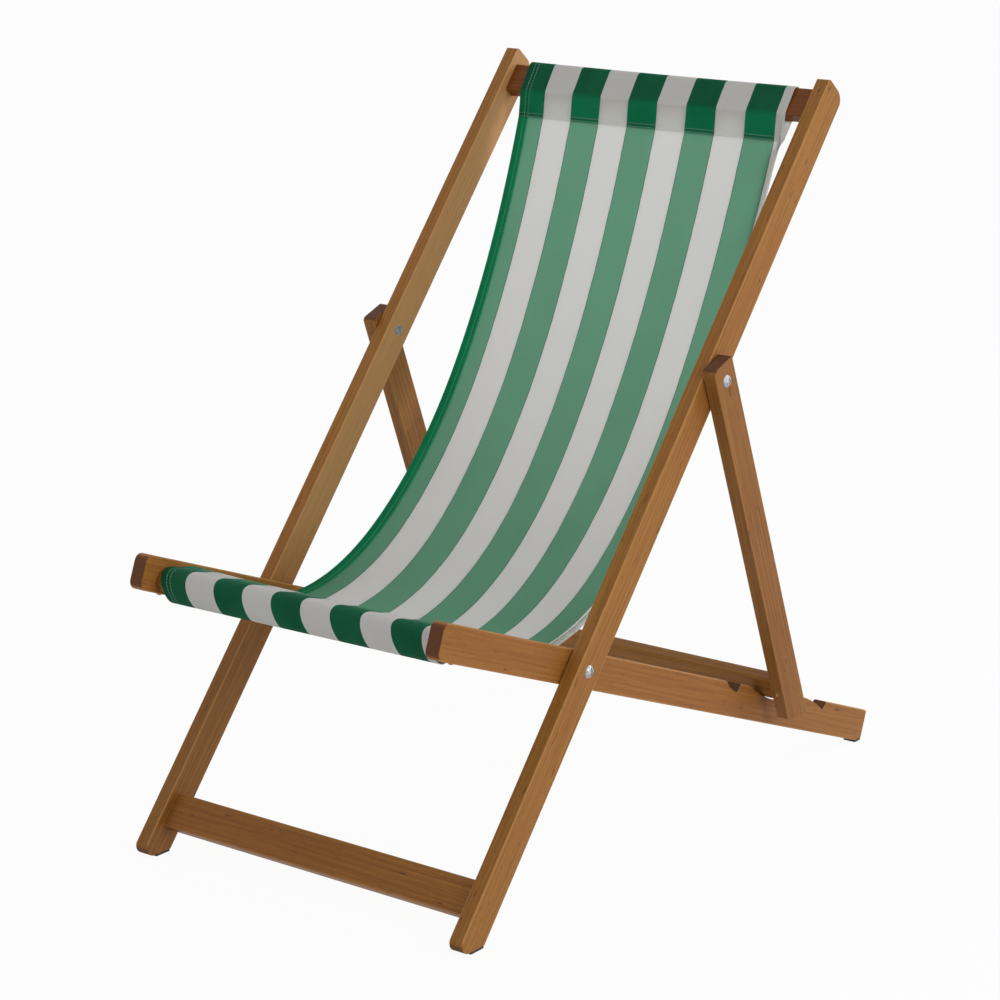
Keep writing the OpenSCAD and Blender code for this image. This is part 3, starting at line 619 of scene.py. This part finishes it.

# %% The canvas finish
# painted light: the one layer and the doubled cloth with air behind get paler colours, as if lit
# through from behind; over wood the cloth keeps its own colour
hugged = cloth.mix(green, colour(222, 220, 217), colour(22, 105, 72))
doubled_painted_glow = cloth.mix(green, colour(250, 250, 248), colour(28, 158, 110))
single_painted_glow = cloth.mix(green, colour(224, 224, 222), colour(104, 156, 130))
shade = cloth.mix(double, single_painted_glow, cloth.mix(hugging, doubled_painted_glow, hugged))
deeper = cloth.mix(1.0, shade, shade, "MULTIPLY")
shade = cloth.mix(cloudy.rise(0.35, 0.7) * 0.3 * green, shade, deeper)
# painted shade: the fold band above the upper hem and the creases in the side hem are made darker
shade = cloth.mix(fold * 0.45 * green + shaded_creases * 0.5, shade, colour(14, 52, 40), "MULTIPLY")
shade = cloth.mix(soil.rise(0.45, 0.8) * 0.05, shade, colour(150, 140, 120))
shade = cloth.mix(at_edge * green * 0.75, shade, colour(34, 52, 44))
shade = cloth.mix(at_edge * (1.0 - green) * 0.6, shade, colour(214, 236, 224))
shade = cloth.mix(thread * (green * 0.6 + 0.15), shade, colour(168, 206, 184))
height = threads * 0.35 + slubs * 0.5 + thread * 2.0 + double * 1.5 - shaded_creases * 2.0
cloth.feed(cloth.shader, {"Base Color": shade, "Roughness": slubs * 0.1 + 0.62,
                          "Normal": cloth.bump(height, 0.00035, 0.6)})
canvas.data.materials.append(cloth.material)
print("canvas finish:", len(cloth.tree.nodes), "nodes")


# %% Light through the canvas
def light_of(red, green, blue):
    """Light that comes through in one colour."""
    return cloth.node("BsdfTranslucent", {}, {"Color": colour(red, green, blue)})


one_layer = cloth.mix_shaders(green, light_of(243, 243, 241), light_of(175, 212, 193))
two_layers = cloth.mix_shaders(green, light_of(246, 246, 244), light_of(40, 190, 150))
glow = cloth.mix_shaders(double, one_layer, two_layers)
glow = cloth.mix_shaders(at_edge * green * 0.6, glow, light_of(70, 90, 80))
deep = hugging.maths("MAXIMUM", double * green * 0.4)
cloth.show_mixed(0.68 - deep * 0.48 - fold * 0.2 * green, glow)
print("light through the canvas:", len(cloth.tree.nodes), "nodes in all")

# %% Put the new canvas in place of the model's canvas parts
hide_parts("canvas_top_sleeve", "canvas_span", "canvas_front_sleeve")
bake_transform(canvas)

# %% [markdown]
# ## Floor, light and camera
#
# The chair stands on a plain pale floor in soft studio light. A broad lamp at the
# right and behind shines through the back of the sling, a second one at the right
# lights the sides of the rails, and the even light of the room fills the rest.
# The camera stands where the picture was taken from: in front of the chair,
# towards the sitter's left, well above the seat, with a long lens.

# %% Floor and room
bpy.ops.mesh.primitive_plane_add(size=60.0)
floor = bpy.context.object
floor.name = "floor"
ground = Finish("floor", Roughness=0.9)
seen = ground.node("LightPath", {}, {}, 0)
for ray in (3, 6):
    seen = seen.maths("MAXIMUM", ground.node("LightPath", {}, {}, ray))
bright = ground.node("Emission", {}, {"Color": (1, 1, 1, 1), "Strength": 1.0})
ground.feed(ground.shader, {"Base Color": colour(245, 245, 244)})
ground.show_mixed(seen * 0.94, bright)
floor.data.materials.append(ground.material)

world = bpy.data.worlds.new("studio")
bpy.context.scene.world = world
world.use_nodes = True
sky = world.node_tree
paths = sky.nodes.new("ShaderNodeLightPath")
strength = sky.nodes.new("ShaderNodeMix")
seen_by = paths.outputs["Is Camera Ray"]
for ray in ("Is Glossy Ray", "Is Transmission Ray"):
    either = sky.nodes.new("ShaderNodeMath")
    either.operation = "MAXIMUM"
    sky.links.new(seen_by, either.inputs[0])
    sky.links.new(paths.outputs[ray], either.inputs[1])
    seen_by = either.outputs[0]
sky.links.new(seen_by, strength.inputs[0])
LIGHT_GIVEN, LIGHT_SEEN = 0.55, 1.0
strength.inputs[2].default_value, strength.inputs[3].default_value = LIGHT_GIVEN, LIGHT_SEEN
sky.links.new(strength.outputs[0], sky.nodes["Background"].inputs["Strength"])
sky.nodes["Background"].inputs["Color"].default_value = (1, 1, 1, 1)
print("room light", LIGHT_GIVEN)

# %% Lamps
def lamp(name, place, aim, size, power):
    data = bpy.data.lights.new(name, "AREA")
    data.shape, data.size, data.energy = "DISK", size, power
    light = bpy.data.objects.new(name, data)
    bpy.context.scene.collection.objects.link(light)
    light.location = place
    light.rotation_euler = (Vector(aim) - Vector(place)).to_track_quat("-Z", "Y").to_euler()
    print("lamp", name, "at", place)


CHAIR_MIDDLE = (0, 0, 0.45)
lamp("key", (2.6, 3.0, 2.6), CHAIR_MIDDLE, 2.0, 55)
lamp("side", (3.4, -0.4, 1.6), CHAIR_MIDDLE, 1.6, 26)

# %% Camera
data = bpy.data.cameras.new("camera")
data.lens, data.sensor_width, data.clip_end = 104.27, 36.0, 100.0
camera = bpy.data.objects.new("camera", data)
bpy.context.scene.collection.objects.link(camera)
turned, raised = math.radians(37.285), math.radians(14.831)
back = Vector((math.sin(turned) * math.cos(raised), -math.cos(turned) * math.cos(raised),
               math.sin(raised)))
camera.location = (2.2775, -3.0466, 1.4358)
camera.rotation_euler = (-back).to_track_quat("-Z", "Y").to_euler()
bpy.context.scene.camera = camera
bpy.context.scene.view_settings.view_transform = "Standard"
print("camera at", tuple(round(c, 3) for c in camera.location))
